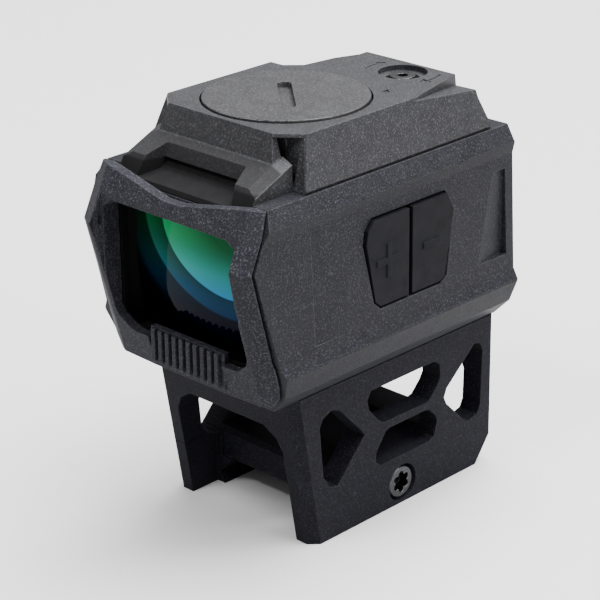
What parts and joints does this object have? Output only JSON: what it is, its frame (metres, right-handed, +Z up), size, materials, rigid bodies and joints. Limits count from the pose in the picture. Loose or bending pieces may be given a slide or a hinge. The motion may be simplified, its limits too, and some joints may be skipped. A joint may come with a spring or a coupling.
{
  "type": "enclosed red dot sight on a rail riser",
  "caption": "Enclosed red dot sight with a top battery cap and side buttons, on a skeletonised rail riser.",
  "frame": {"origin": "under the middle of the whole length, at the foot of the riser's side plates", "axes": "+Z up, objective looks along -Y, eyepiece looks along +Y, the buttons and the clamp bolt's head are on +X"},
  "size_m": [0.0388, 0.0577, 0.0656],
  "materials": {
    "black_anodised": "bead-blasted and hard anodised",
    "black_steel": "black oxide",
    "steel": "ground",
    "spring_steel": "drawn",
    "contact": "plated",
    "cell": "satin",
    "rubber": "matte",
    "black_plastic": "matte",
    "board": "solder mask",
    "chip": "matte",
    "flex": "film",
    "emitter": "gloss",
    "coated_glass": "coated",
    "clear_glass": "coated"
  },
  "bodies": {
    "sight": {"riser_base": "black_anodised", "guide_pins": "steel", "recoil_lug": "black_steel", "mounting_screws": "black_steel", "main_housing": "black_anodised", "front_bezel": "black_anodised", "sill_ribs": "black_anodised", "bezel_gasket": "rubber", "top_cover": "black_anodised", "cover_screws": "steel", "objective_lens": "coated_glass", "objective_gasket": "rubber", "lens_retainer": "black_anodised", "rear_window": "clear_glass", "rear_gasket": "rubber", "rear_frame": "black_anodised", "coin_cell": "cell", "battery_tray": "black_plastic", "negative_contact": "contact", "elevation_bush": "black_anodised", "windage_bush": "black_anodised", "main_board": "board", "control_chip": "chip", "button_board": "board", "tactile_switches": "steel", "button_membrane": "rubber", "flex_cable": "flex"},
    "clamp_bolt": {"clamp_bolt": "black_steel"},
    "clamp_jaw": {"clamp_jaw": "black_anodised", "clamp_nut": "steel"},
    "cap_seal": {"battery_cap_o_ring": "rubber"},
    "battery_cap": {"battery_cap": "black_anodised", "positive_contact": "contact"},
    "elevation_screw": {"elevation_screw": "black_steel"},
    "windage_screw": {"windage_screw": "black_steel"},
    "windage_stage": {"windage_stage": "steel", "elevation_spring": "spring_steel"},
    "emitter": {"emitter_carriage": "black_plastic", "emitter_diode": "emitter"},
    "plus_button": {"plus_button": "rubber"},
    "minus_button": {"minus_button": "rubber"}
  },
  "joints": [
    {"name": "bolt_turn", "type": "hinge", "parent": "sight", "child": "clamp_bolt", "pos_m": [0, 0.00695, 0.00345], "axis": [1, 0, 0], "range_deg": [0, 1081]},
    {"name": "jaw_open", "type": "slide", "parent": "sight", "child": "clamp_jaw", "axis": [-1, 0, 0], "range_m": [0, 0.0021]},
    {"name": "cap_rise", "type": "slide", "parent": "sight", "child": "cap_seal", "axis": [0, 0, 1], "range_m": [0, 0.00187]},
    {"name": "cap_turn", "type": "hinge", "parent": "cap_seal", "child": "battery_cap", "pos_m": [0, -0.00235, 0.065], "axis": [0, 0, 1], "range_deg": [0, 900]},
    {"name": "elevation_turn", "type": "hinge", "parent": "sight", "child": "elevation_screw", "pos_m": [0.0043, 0.01845, 0.06215], "axis": [0, 0, 1], "range_deg": [-361, 361]},
    {"name": "windage_turn", "type": "hinge", "parent": "sight", "child": "windage_screw", "pos_m": [-0.0092, 0.01425, 0.0604], "axis": [1, 0, 0], "range_deg": [-361, 361]},
    {"name": "windage_slide", "type": "slide", "parent": "sight", "child": "windage_stage", "axis": [1, 0, 0], "range_m": [-0.00035, 0.00035]},
    {"name": "elevation_slide", "type": "slide", "parent": "windage_stage", "child": "emitter", "axis": [0, 0, 1], "range_m": [-0.00035, 0.00035], "deforming": ["elevation_spring"]},
    {"name": "plus_press", "type": "slide", "parent": "sight", "child": "plus_button", "axis": [-1, 0, 0], "range_m": [0, 0.0004], "stiffness_N_per_m": 300},
    {"name": "minus_press", "type": "slide", "parent": "sight", "child": "minus_button", "axis": [-1, 0, 0], "range_m": [0, 0.0004], "stiffness_N_per_m": 300}
  ],
  "couplings": [
    {"joint": "bolt_turn", "follows": "jaw_open", "rad_per_m": 8976},
    {"joint": "cap_rise", "follows": "cap_turn", "m_per_rad": 0.00011937},
    {"joint": "windage_turn", "follows": "windage_slide", "rad_per_m": 17952},
    {"joint": "elevation_turn", "follows": "elevation_slide", "rad_per_m": 17952}
  ]
}
